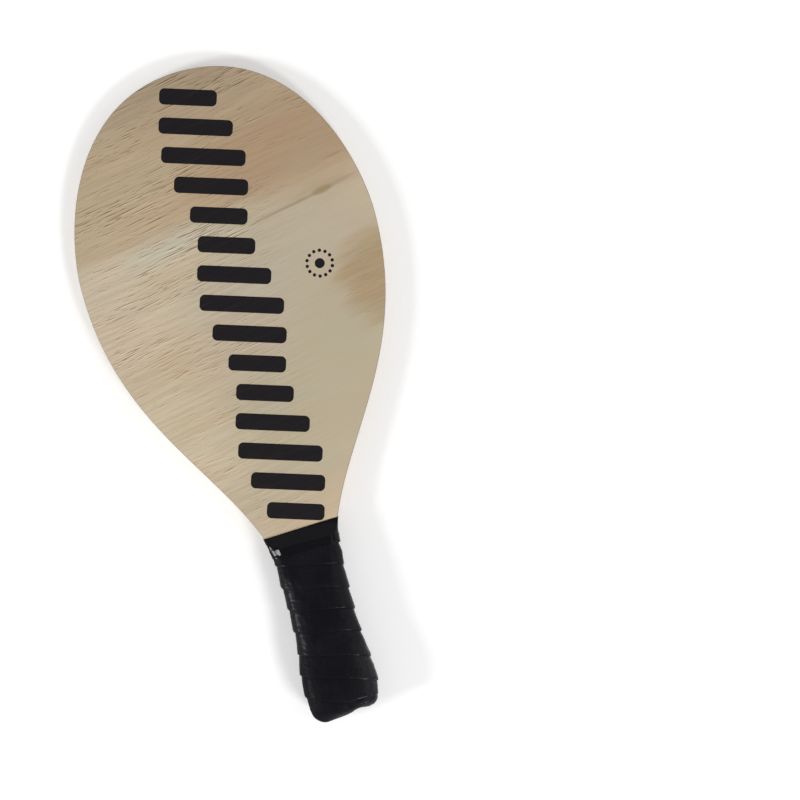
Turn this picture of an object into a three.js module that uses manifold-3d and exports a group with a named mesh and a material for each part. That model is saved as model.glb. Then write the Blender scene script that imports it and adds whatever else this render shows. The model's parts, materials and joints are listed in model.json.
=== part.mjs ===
// A frescobol racket, lying flat with its front face up.
// Lengths are millimetres. +Y runs from the butt to the tip, +X to the right, +Z up out of the front face.
// A station is a distance along Y from the butt's lowest point, and a rise a height above the plywood.
// The veneers are split from one routed blank, and the handle is built up on its tang as it is wound.

import * as THREE from "three";
import { mergeVertices } from "three/addons/utils/BufferGeometryUtils.js";
import Module from "manifold-3d";

const wasm = await Module();
wasm.setup();

// Outline of the plywood
const racketLength = 450;
const bladeWidth = 205;
const widestStation = 324;
const shoulderStation = 145;
const shoulderWidth = 63.9;
const neckStation = 83;
const tangWidth = 33;

// How far the outline's four curve handles reach, as shares of the stretch that each one crosses
const shoulderReachShare = 0.28;
const flankReachShare = 0.47;
const crownReachShare = 0.334;
const tipReachShare = 0.76;

// Plywood: two thin face veneers over thicker inner ones, with the routed edge eased
const faceVeneerThickness = 0.8;
const innerVeneerThickness = 1.5;
const innerVeneers = 5;
const edgeEase = 0.5;

// Handle: wooden scales on both sides of the tang, which swell toward the butt
const scaleThickness = 4.5;
const scaleRampLength = 14;
const scaleLip = 0.8;
const flareStation = 27;
const flareLength = 35;
const flareWidthRise = 3.7;
const flareThicknessRise = 1.5;
const buttNarrowing = 0.4;
const domeExponent = 2.4;

// Foam sleeve, skived to nothing toward the neck
const sleeveThickness = 3;
const skiveLength = 30;
const sleeveSetback = 9;

// Pad on the butt, slanted across the handle and rounder on its left
const padWall = 1.5;
const padRadius = 6.5;
const padRadiusSkew = 2;
const padSlantDegrees = 5.8;

// Grip tape, wound from the butt with each turn's lower edge over the turn below
const tapePitch = 15.5;
const tapeOverlap = 2.5;
const tapeThickness = 0.75;
const tapeTip = 3;
const tapeLean = 1.75;
const tapeEdgeStation = 27.9;
const restFlatDepth = 0.5;

// Finishing tape over the top of the winding
const bandTopStation = 131;
const bandWidth = 14.5;
const bandLap = 10;
const bandThickness = 0.35;
const bandTurns = 1.25;
const bandNeckRise = 0.6;

// Fits
const clearance = 0.3;
const turnGap = 0.6;

// Steps of the curves. A section has a step over each side wall beside those over its two domes.
const domeSteps = 11;
const stationSteps = 20;
const neckSteps = 4;
const flankSteps = 20;
const crownSteps = 22;
const padSteps = 5;

// Sizes that follow from those above
const loopSteps = 2 * (domeSteps + 1);
const plywoodHalf = faceVeneerThickness + (innerVeneers * innerVeneerThickness) / 2;
const tangHalf = tangWidth / 2;
const neckSpread = (shoulderWidth - tangWidth) / 2;
const neckLength = shoulderStation - neckStation;
const tapeWidth = tapePitch + tapeOverlap;
const tapeLift = ((tapeThickness + turnGap) * tapeWidth) / tapePitch;
const windingEnd = bandTopStation - bandLap;
const sleeveEnd = windingEnd - sleeveSetback;
const scaleEnd = (windingEnd + 2 * bandTopStation) / 3;
const rampStart = scaleEnd - scaleRampLength;
const sleeveOffset = clearance + sleeveThickness;
const padHalf = tangHalf + flareWidthRise - buttNarrowing + sleeveOffset + clearance + tapeThickness;
const padRise = scaleThickness + flareThicknessRise - buttNarrowing + sleeveOffset + clearance + tapeThickness;
const padSlope = Math.tan(THREE.MathUtils.degToRad(padSlantDegrees));
const padMiddle = padSlope * (padHalf - padRadius - padRadiusSkew);
const padSeat = padMiddle + padRadius + Math.abs(padSlope * padHalf - padRadiusSkew) + padWall;

const { smoothstep, euclideanModulo, lerp } = THREE.MathUtils;

// Swelling of the handle at a station: 1 at the flare, 0 from the waist on.
function flareShare(station) {
  return 1 - smoothstep(station, flareStation, flareStation + flareLength);
}

// Narrowing of the handle's end, from the flare back to the butt.
function buttInset(station) {
  return buttNarrowing * (1 - smoothstep(station, 0, flareStation));
}

// Half the width of the plywood from the butt to the shoulder.
function tangHalfWidth(station) {
  const spread = neckSpread * (Math.max(station - neckStation, 0) / neckLength) ** 2;
  return tangHalf + flareWidthRise * flareShare(station) - buttInset(station) + spread;
}

// Height of a scale's crown above the plywood before its end is ramped.
function scaleCrown(station) {
  return scaleThickness + flareThicknessRise * flareShare(station) - buttInset(station);
}

// Height of a scale's crown above the plywood, ramped down to a thin lip at the neck.
function scaleRise(station) {
  return lerp(scaleCrown(station), scaleLip, smoothstep(station, rampStart, scaleEnd));
}

// Thickness of the foam sleeve.
function sleeveWall(station) {
  return sleeveThickness * (1 - smoothstep(station, windingEnd - skiveLength, windingEnd));
}

// Distance from the wood to the inside of the winding.
function windingOffset(station) {
  return clearance + sleeveWall(station) + clearance;
}

// Share of the half-width, -1 to 1, and of the crown at a step of the section, which starts at the right.
// The front half is a dome of the first steps, the back half of the rest, with a flat side wall between.
function sectionShares(step) {
  const around = euclideanModulo(step, loopSteps);
  const side = around < loopSteps / 2 ? 1 : -1;
  const angle = (Math.PI * (around % (loopSteps / 2))) / domeSteps;
  const bow = (value) => Math.sign(value) * Math.abs(value) ** (2 / domeExponent);
  return { side, across: side * bow(Math.cos(angle)), up: side * bow(Math.sin(angle)) };
}

// One point of a section round the plywood's edge and the domes above and below it.
function sectionPoint(step, station, halfWidth, rise) {
  const { side, across, up } = sectionShares(step);
  return new THREE.Vector3(halfWidth * across, station, side * plywoodHalf + rise * up);
}

// Numbers from first to last in equal steps.
function evenly(first, last, steps) {
  return Array.from({ length: steps + 1 }, (_, index) => lerp(first, last, index / steps));
}

// Triangles of a fan over a flat ring with no hollow in its outline.
function fan(sides) {
  return Array.from({ length: sides - 2 }, (_, index) => [0, index + 1, index + 2]);
}

// Triangles of a ladder over a flat ring that runs out along one side and back along the other.
function ladder(sides) {
  const triangles = [];
  for (let near = 0; near < sides - near - 2; near++) {
    const far = sides - near - 1;
    if (near + 1 < far - 1) triangles.push([near, near + 1, far - 1]);
    triangles.push([near, far - 1, far]);
  }
  return triangles;
}

// A closed geometry from points and triangles, with its faces turned outward.
function closedGeometry(points, triangles) {
  const corner = new THREE.Vector3();
  let volume = 0;
  for (const [a, b, c] of triangles) volume += points[a].dot(corner.crossVectors(points[b], points[c]));
  const faces = volume < 0 ? triangles.map(([a, b, c]) => [a, c, b]) : triangles;
  return new THREE.BufferGeometry().setFromPoints(points).setIndex(faces.flat());
}

// Joins rings of equal length into a solid. The cap, a fan or a ladder, closes its two ends.
// Without a cap the last ring meets the first.
function loft(rings, cap) {
  const sides = rings[0].length;
  const spans = cap ? rings.length - 1 : rings.length;
  const triangles = [];
  for (let ring = 0; ring < spans; ring++) {
    const near = ring * sides;
    const far = ((ring + 1) % rings.length) * sides;
    for (let side = 0; side < sides; side++) {
      const next = (side + 1) % sides;
      triangles.push([near + side, near + next, far + next]);
      triangles.push([near + side, far + next, far + side]);
    }
  }
  const last = (rings.length - 1) * sides;
  for (const [a, b, c] of cap?.(sides) ?? []) {
    triangles.push([a, c, b]);
    triangles.push([last + a, last + b, last + c]);
  }
  return closedGeometry(rings.flat(), triangles);
}

// The solid of a closed geometry.
function toSolid(geometry) {
  const bare = geometry.clone();
  bare.deleteAttribute("normal");
  bare.deleteAttribute("uv");
  const merged = mergeVertices(bare);
  const vertProperties = new Float32Array(merged.attributes.position.array);
  const triVerts = new Uint32Array(merged.index.array);
  return new wasm.Manifold(new wasm.Mesh({ numProp: 3, vertProperties, triVerts }));
}

// The geometry of a solid.
function toGeometry(solid) {
  const { vertProperties, triVerts } = solid.getMesh();
  const geometry = new THREE.BufferGeometry();
  geometry.setAttribute("position", new THREE.BufferAttribute(vertProperties, 3));
  return geometry.setIndex(new THREE.BufferAttribute(triVerts, 1));
}

// Outline of the plywood: the tang and neck by formula, then a flank curve and a crown curve each side.
function plywoodOutline() {
  const bladeHalf = bladeWidth / 2;
  const shoulderHalf = shoulderWidth / 2;
  const shoulderLean = (2 * neckSpread) / neckLength;
  const flankLength = widestStation - shoulderStation;
  const crownLength = racketLength - widestStation;
  const shoulderReach = shoulderReachShare * flankLength;
  const tang = evenly(padSeat, scaleEnd, stationSteps);
  const neck = evenly(scaleEnd, shoulderStation, neckSteps).slice(1, -1);
  const handle = [...tang, ...neck].map((station) => new THREE.Vector2(tangHalfWidth(station), station));
  const flank = new THREE.CubicBezierCurve(
    new THREE.Vector2(shoulderHalf, shoulderStation),
    new THREE.Vector2(shoulderHalf + shoulderLean * shoulderReach, shoulderStation + shoulderReach),
    new THREE.Vector2(bladeHalf, widestStation - flankReachShare * flankLength),
    new THREE.Vector2(bladeHalf, widestStation),
  );
  const crown = new THREE.CubicBezierCurve(
    new THREE.Vector2(bladeHalf, widestStation),
    new THREE.Vector2(bladeHalf, widestStation + crownReachShare * crownLength),
    new THREE.Vector2(tipReachShare * bladeHalf, racketLength),
    new THREE.Vector2(0, racketLength),
  );
  const right = [...handle, ...flank.getPoints(flankSteps), ...crown.getPoints(crownSteps).slice(1, -1)];
  const left = right.map(({ x, y }) => new THREE.Vector2(-x, y)).reverse();
  return [...right, new THREE.Vector2(0, racketLength), ...left];
}

// The outline drawn in by an inset, as a ring at a height.
function insetRing(outline, inset, height) {
  return outline.map((point, index) => {
    const along = outline[(index + 1) % outline.length].clone().sub(outline.at(index - 1)).setLength(inset);
    return new THREE.Vector3(point.x - along.y, point.y + along.x, height);
  });
}

// The routed blank with both of its edges eased, split at each glue line, from the back veneer up.
function splitVeneers() {
  const outline = plywoodOutline();
  const easeStart = plywoodHalf - edgeEase;
  const rings = [
    insetRing(outline, edgeEase, -plywoodHalf),
    insetRing(outline, 0, -easeStart),
    insetRing(outline, 0, easeStart),
    insetRing(outline, edgeEase, plywoodHalf),
  ];
  const veneers = [];
  let rest = toSolid(loft(rings, ladder));
  for (let glueLine = 0; glueLine <= innerVeneers; glueLine++) {
    const level = faceVeneerThickness + glueLine * innerVeneerThickness - plywoodHalf;
    const [above, below] = rest.splitByPlane([0, 0, 1], level);
    veneers.push(toGeometry(below));
    rest = above;
  }
  veneers.push(toGeometry(rest));
  return veneers;
}

// A wooden scale: flat on the plywood, domed above it. The side is 1 for the front and -1 for the back.
function handleScale(side) {
  const rings = evenly(padSeat, scaleEnd, stationSteps).map((station) => {
    const ring = [];
    for (let step = 0; step < loopSteps / 2; step++) {
      const point = sectionPoint(step, station, tangHalfWidth(station), scaleRise(station));
      point.z *= side;
      ring.push(point);
    }
    return ring;
  });
  return loft(rings, fan);
}

// The foam sleeve: at each step round the handle, its outer line to the neck and its inner line back.
function foamSleeve() {
  const stations = evenly(padSeat, sleeveEnd, stationSteps);
  const rings = [];
  for (let step = 0; step < loopSteps; step++) {
    const line = (offset) =>
      stations.map((station) => {
        const out = offset(station);
        return sectionPoint(step, station, tangHalfWidth(station) + out, scaleCrown(station) + out);
      });
    const outer = line((station) => clearance + sleeveWall(station));
    const inner = line(() => clearance);
    rings.push([...outer, ...inner.reverse()]);
  }
  return loft(rings);
}

// The butt pad: a seat square to the handle, then a rounded edge down to a slanted end.
function buttPad() {
  const ringOf = (place) => Array.from({ length: loopSteps }, (_, step) => place(step));
  const seat = ringOf((step) => sectionPoint(step, padSeat, padHalf, padRise));
  const rounded = evenly(0, Math.PI / 2, padSteps).map((angle) =>
    ringOf((step) => {
      const radius = padRadius - padRadiusSkew * sectionShares(step).across;
      const inset = radius * (1 - Math.cos(angle));
      const point = sectionPoint(step, 0, padHalf - inset, padRise - inset);
      point.y = padMiddle + padSlope * point.x + radius * (1 - Math.sin(angle));
      return point;
    }),
  );
  return loft([seat, ...rounded], fan);
}

// Square ends for a wound tape: its first and last sections, moved straight on by its thickness.
function withSquareEnds(rings, thickness) {
  const middle = (ring) => ring.reduce((sum, point) => sum.add(point), new THREE.Vector3());
  const moved = (ring, neighbour) => {
    const onward = middle(ring).sub(middle(neighbour)).setLength(thickness);
    return ring.map((point) => point.clone().add(onward));
  };
  return [moved(rings[0], rings[1]), ...rings, moved(rings.at(-1), rings.at(-2))];
}

// Least distance from the corners of a wound tape's sections to the sections a turn away.
function leastTurnGap(rings) {
  const edge = new THREE.Line3();
  const nearest = new THREE.Vector3();
  let least = Infinity;
  const measure = (corners, ring) => {
    ring.forEach((start, index) => {
      edge.set(start, ring[(index + 1) % ring.length]);
      for (const corner of corners) {
        edge.closestPointToPoint(corner, true, nearest);
        least = Math.min(least, nearest.distanceTo(corner));
      }
    });
  };
  rings.forEach((ring, index) => {
    for (const other of rings.slice(index + loopSteps / 2, index + 2 * loopSteps)) {
      measure(ring, other);
      measure(other, ring);
    }
  });
  return least;
}

// Six corners of a tape's section at a step: its inner face to the blade, then its outer face back.
function tapeSection(stations, place, thickness) {
  const inner = stations.map((station) => place(station, 0));
  const outer = stations.map((station) => place(station, thickness));
  return [...inner, ...outer.reverse()];
}

// Station of the grip tape's lower edge at a step, counted from the right of the handle.
function tapeEdge(step) {
  const frontStep = domeSteps / 2;
  return tapeEdgeStation + (tapePitch * (step - frontStep)) / loopSteps - tapeLean * sectionShares(step).across;
}

// The grip tape's sections. Its ends are cut so that the first and last turns finish square to the handle.
function gripTapeRings() {
  const start = padSeat + clearance;
  const turnsToButt = Math.ceil((tapeEdgeStation + tapeWidth) / tapePitch) + 1;
  let step = -turnsToButt * loopSteps;
  while (tapeEdge(step) + tapeWidth < start + tapeTip) step++;
  const firstStep = step;
  const rings = [];
  for (; tapeEdge(step) <= windingEnd - tapeTip; step++) {
    const edge = tapeEdge(step);
    const lower = Math.max(edge, start);
    const upper = Math.min(edge + tapeWidth, windingEnd);
    const onLowerTurn = smoothstep(step - firstStep, loopSteps / 2, loopSteps - 2);
    const place = (station, out) => {
      const lift = tapeLift * onLowerTurn * (1 - (station - edge) / tapeWidth);
      const offset = windingOffset(station) + lift + out;
      const rise = scaleCrown(station) + offset;
      return sectionPoint(step, station, tangHalfWidth(station) + offset, rise);
    };
    rings.push(tapeSection([lower, (lower + upper) / 2, upper], place, tapeThickness));
  }
  return withSquareEnds(rings, tapeThickness);
}

// The grip tape, cut flat underneath where the racket rests on it, and how high its middle then lies.
function restingGripTape(rings) {
  const wound = loft(rings, ladder);
  wound.computeBoundingBox();
  const { min, max } = wound.boundingBox;
  const size = max.clone().sub(min);
  const below = new THREE.BoxGeometry(2 * size.x, 2 * size.y, 2 * restFlatDepth);
  below.translate(0, (min.y + max.y) / 2, min.z);
  const tape = toGeometry(toSolid(wound).subtract(toSolid(below)));
  return { tape, restHeight: -(min.z + restFlatDepth) };
}

// The finishing tape's sections, spiralling outward from the top of the winding down onto the neck.
function finishingTapeRings() {
  const lower = bandTopStation - bandWidth;
  const middle = windingEnd + 2 * clearance;
  const overWinding = clearance + tapeLift + tapeThickness;
  const rings = [];
  for (let step = 0; step <= bandTurns * loopSteps; step++) {
    const spiral = ((bandThickness + turnGap) * step) / loopSteps;
    const place = (station, out) => {
      const onNeck = station === bandTopStation;
      const offset = onNeck ? clearance : windingOffset(station) + overWinding;
      const rise = onNeck ? bandNeckRise : scaleCrown(station) + offset;
      return sectionPoint(step, station, tangHalfWidth(station) + offset + spiral + out, rise + spiral + out);
    };
    rings.push(tapeSection([lower, middle, bandTopStation], place, bandThickness));
  }
  return withSquareEnds(rings, bandThickness);
}

// A surface finish.
function finish(color, roughness) {
  return new THREE.MeshStandardMaterial({ color, roughness, metalness: 0 });
}

// Adds one named piece to a group.
function addPiece(group, name, geometry, material) {
  const piece = new THREE.Mesh(geometry, material);
  piece.name = name;
  geometry.computeVertexNormals();
  group.add(piece);
}

// The veneers, from the back up, numbered from each face to the core.
function addPlywood(group) {
  const veneers = splitVeneers();
  veneers.forEach((veneer, index) => {
    const depth = Math.min(index, veneers.length - 1 - index);
    const side = 2 * index < veneers.length ? "back" : "front";
    if (2 * index === veneers.length - 1) addPiece(group, "core_veneer", veneer, finish(0xa8957a, 0.7));
    else if (depth === 0) addPiece(group, `${side}_face_veneer`, veneer, finish(0xbeac8e, 0.45));
    else addPiece(group, `${side}_veneer_${depth + 1}`, veneer, finish(0xa8957a, 0.7));
  });
}

// The handle's wood, foam and pad.
function addHandle(group) {
  addPiece(group, "front_handle_scale", handleScale(1), finish(0xb59a72, 0.7));
  addPiece(group, "back_handle_scale", handleScale(-1), finish(0xb59a72, 0.7));
  addPiece(group, "foam_sleeve", foamSleeve(), finish(0x2b2b2e, 0.9));
  addPiece(group, "butt_pad", buttPad(), finish(0x1b1a1f, 0.5));
}

// The two tapes. Returns how high the plywood's middle lies above the surface that the racket rests on.
function addTapes(group) {
  const gripRings = gripTapeRings();
  const bandRings = finishingTapeRings();
  console.log(`Least gap of the grip tape to itself: ${leastTurnGap(gripRings).toFixed(3)} mm`);
  console.log(`Least gap of the finishing tape to itself: ${leastTurnGap(bandRings).toFixed(3)} mm`);
  const { tape, restHeight } = restingGripTape(gripRings);
  addPiece(group, "grip_tape", tape, finish(0x1b1a1f, 0.45));
  addPiece(group, "finishing_tape", loft(bandRings, ladder), finish(0x151418, 0.25));
  return restHeight;
}

const racket = new THREE.Group();
addPlywood(racket);
addHandle(racket);
racket.position.set(0, -racketLength / 2, addTapes(racket));

export default racket;
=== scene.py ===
"""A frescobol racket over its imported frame, dressed and lit for the studio.

Lengths are metres. +Y runs from the butt to the tip, +X to the right and +Z up out of the front face.
A station is a distance along Y from the butt's lowest point, and a pair of stations is where something starts
and stops fading. A step is a place round the handle: there are 24 to a turn, counted from its right side over
the front.
"""

import json
import logging
import math
from dataclasses import dataclass
from enum import Enum
from functools import cache
from typing import Callable

import bpy
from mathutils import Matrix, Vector, noise

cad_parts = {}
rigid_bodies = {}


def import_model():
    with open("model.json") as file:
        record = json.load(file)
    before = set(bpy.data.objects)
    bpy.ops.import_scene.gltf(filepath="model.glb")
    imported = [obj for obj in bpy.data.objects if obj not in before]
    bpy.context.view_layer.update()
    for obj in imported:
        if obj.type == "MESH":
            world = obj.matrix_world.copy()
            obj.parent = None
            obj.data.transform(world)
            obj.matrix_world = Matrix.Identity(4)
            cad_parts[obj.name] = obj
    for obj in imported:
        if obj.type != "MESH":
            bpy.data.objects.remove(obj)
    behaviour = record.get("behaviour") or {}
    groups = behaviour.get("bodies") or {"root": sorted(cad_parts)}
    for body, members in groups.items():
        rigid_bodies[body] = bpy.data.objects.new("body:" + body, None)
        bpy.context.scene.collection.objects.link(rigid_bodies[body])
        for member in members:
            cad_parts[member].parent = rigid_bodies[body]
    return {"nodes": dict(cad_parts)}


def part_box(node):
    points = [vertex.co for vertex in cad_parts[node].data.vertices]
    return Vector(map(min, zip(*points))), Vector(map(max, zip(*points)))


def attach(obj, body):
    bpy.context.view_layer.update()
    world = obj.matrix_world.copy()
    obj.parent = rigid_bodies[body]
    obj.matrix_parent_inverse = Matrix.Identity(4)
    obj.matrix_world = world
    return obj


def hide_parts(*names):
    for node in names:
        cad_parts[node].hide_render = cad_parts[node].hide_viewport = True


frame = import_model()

MM = 0.001
SEAM = 0.004 * MM
GRAIN_DEPTH = 0.08 * MM
ROOT = "root"
LOG = logging.getLogger("racket")


def linear(red: int, green: int, blue: int) -> tuple[float, float, float, float]:
    """Turns a colour as a picture shows it into one that a shader reads.

    Args:
        red: Red, 0 to 255.
        green: Green, 0 to 255.
        blue: Blue, 0 to 255.

    Returns:
        The colour in linear light, with an alpha of 1.
    """
    shares = [value / 255 for value in (red, green, blue)]
    levels = [s / 12.92 if s <= 0.04045 else ((s + 0.055) / 1.055) ** 2.4 for s in shares]
    return (*levels, 1.0)


def smoothstep(value: float, low: float, high: float) -> float:
    """Rises smoothly from 0 at low to 1 at high."""
    share = min(max((value - low) / (high - low), 0.0), 1.0)
    return share * share * (3 - 2 * share)


def fall(value: float, low: float, high: float) -> float:
    """Falls smoothly from 1 at low to 0 at high."""
    return 1 - smoothstep(value, low, high)


def lerp(first: float, last: float, share: float) -> float:
    """A number on the way from first to last."""
    return first + (last - first) * share


def bump(value: float, centre: float, width: float) -> float:
    """A soft hump of height 1 at the centre, with its sides a width away."""
    return math.exp(-(((value - centre) / width) ** 2))


def uneven(x: float, y: float, z: float) -> float:
    """Smooth noise at a place, between about -1 and 1."""
    return noise.noise(Vector((x, y, z)))


def there_and_back(across: float, rows: int) -> tuple[float, bool]:
    """Walks over a wall's outside and back inside, in 2 * (rows + 1) steps.

    Args:
        across: Share of the whole walk.
        rows: Steps from the start to the far end.

    Returns:
        The share of the way to the far end, and whether the place is on the outside.
    """
    row = across * 2 * (rows + 1)
    if row > 2 * rows + 1:
        return 0.0, True
    share = row / rows if row <= rows else (2 * rows + 1 - row) / rows
    return min(max(share, 0.0), 1.0), row <= rows


class Layer(Enum):
    """The veneers by how they lie in the sheet, with the heading of their grain from +X in degrees."""

    FACE = 11.0
    LONG = 96.0
    CROSS = 4.0


class Tint(Enum):
    """What the wood's tone is multiplied by in places: red, green and blue."""

    BLUSHED = (1.06, 0.965, 0.93)
    RAISED = (1.22, 1.21, 1.18)
    PRESSED = (0.74, 0.69, 0.61)
    # painted highlight on the pores' lips
    LIT = (1.3, 1.28, 1.24)


class Graph:
    """Lays nodes in a shader tree and links them."""

    def __init__(self, tree: bpy.types.NodeTree) -> None:
        """Starts on a tree."""
        self.tree = tree

    def add(self, kind: str, inputs: dict | None = None, **settings: object) -> bpy.types.Node:
        """Adds one node.

        Args:
            kind: The node's type name.
            inputs: Values or sockets by input name or number.
            **settings: The node's own settings.

        Returns:
            The new node.
        """
        node = self.tree.nodes.new(kind)
        for name, value in settings.items():
            setattr(node, name, value)
        for key, value in (inputs or {}).items():
            if isinstance(value, bpy.types.NodeSocket):
                self.tree.links.new(value, node.inputs[key])
            else:
                node.inputs[key].default_value = value
        return node

    def math(self, operation: str, *values: object) -> bpy.types.NodeSocket:
        """Adds a Math node, with its values or sockets in order, and gives its result."""
        return self.add("ShaderNodeMath", dict(enumerate(values)), operation=operation).outputs[0]

    def times(self, first: object, last: object) -> bpy.types.NodeSocket:
        """Multiplies two values or sockets."""
        return self.math("MULTIPLY", first, last)

    def rest(self, share: object) -> bpy.types.NodeSocket:
        """What a share leaves of 1."""
        return self.math("SUBTRACT", 1.0, share)

    def vectors(self, operation: str, *values: object) -> bpy.types.NodeSocket:
        """Adds a Vector Math node, with its values or sockets in order, and gives its result."""
        made = self.add("ShaderNodeVectorMath", dict(enumerate(values)), operation=operation)
        return made.outputs["Value" if operation in ("LENGTH", "DOT_PRODUCT") else "Vector"]

    def mix(self, share: object, first: object, last: object, blend: str = "MIX") -> bpy.types.NodeSocket:
        """Mixes two colours, by the share of the last one."""
        inputs = {0: share, 6: first, 7: last}
        return self.add("ShaderNodeMix", inputs, data_type="RGBA", blend_type=blend).outputs[2]

    def tinted(self, tone: object, tint: Tint) -> bpy.types.NodeSocket:
        """Multiplies a tone by a tint."""
        return self.mix(1.0, tone, (*tint.value, 1.0), "MULTIPLY")

    def rise(self, value: object, low: object, high: object, top: float = 1.0) -> bpy.types.NodeSocket:
        """Maps a value to a smooth rise, from 0 at low to top at high."""
        inputs = {0: value, 1: low, 2: high, 3: 0.0, 4: top}
        return self.add("ShaderNodeMapRange", inputs, interpolation_type="SMOOTHSTEP").outputs[0]

    def noise(
        self, place: object, scale: float | tuple, detail: float = 2.0, rough: float = 0.5
    ) -> bpy.types.NodeSocket:
        """Adds a noise texture.

        Args:
            place: Where it is read.
            scale: Its features to a metre, as one number or along each axis.
            detail: Its octaves.
            rough: How strong the finer octaves are.

        Returns:
            The noise's socket, about 0.5 on average.
        """
        if isinstance(scale, tuple):
            place, scale = self.stretch(place, scale), 1.0
        inputs = {"Vector": place, "Scale": scale, "Detail": detail, "Roughness": rough}
        return self.add("ShaderNodeTexNoise", inputs).outputs[0]

    def stretch(self, vector: object, scale: tuple, turn: float = 0.0) -> bpy.types.NodeSocket:
        """Turns a vector until the heading in degrees is its first axis, then scales it along each axis."""
        turned = self.add("ShaderNodeMapping", {0: vector, 2: (0.0, 0.0, -math.radians(turn))}).outputs[0]
        return self.add("ShaderNodeMapping", {0: turned, 3: scale}).outputs[0]

    def close(self, inputs: dict, height: object, strength: float, depth: float) -> None:
        """Ends a material with its shader and its relief.

        Args:
            inputs: The shader's values by input name.
            height: The relief's socket.
            strength: How strongly it shows.
            depth: Its depth in metres.
        """
        relief = self.add("ShaderNodeBump", {"Strength": strength, "Distance": depth, "Height": height})
        shader = self.add("ShaderNodeBsdfPrincipled", {**inputs, "Normal": relief.outputs[0]})
        self.add("ShaderNodeOutputMaterial", {0: shader.outputs[0]})

    @classmethod
    def material(cls, name: str) -> tuple[bpy.types.Material, "Graph", bpy.types.NodeSocket]:
        """Starts a node material.

        Args:
            name: Its name.

        Returns:
            The material, its graph, and the object's own coordinates.
        """
        material = bpy.data.materials.new(name)
        material.use_nodes = True
        material.node_tree.nodes.clear()
        graph = cls(material.node_tree)
        return material, graph, graph.add("ShaderNodeTexCoord").outputs["Object"]


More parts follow.
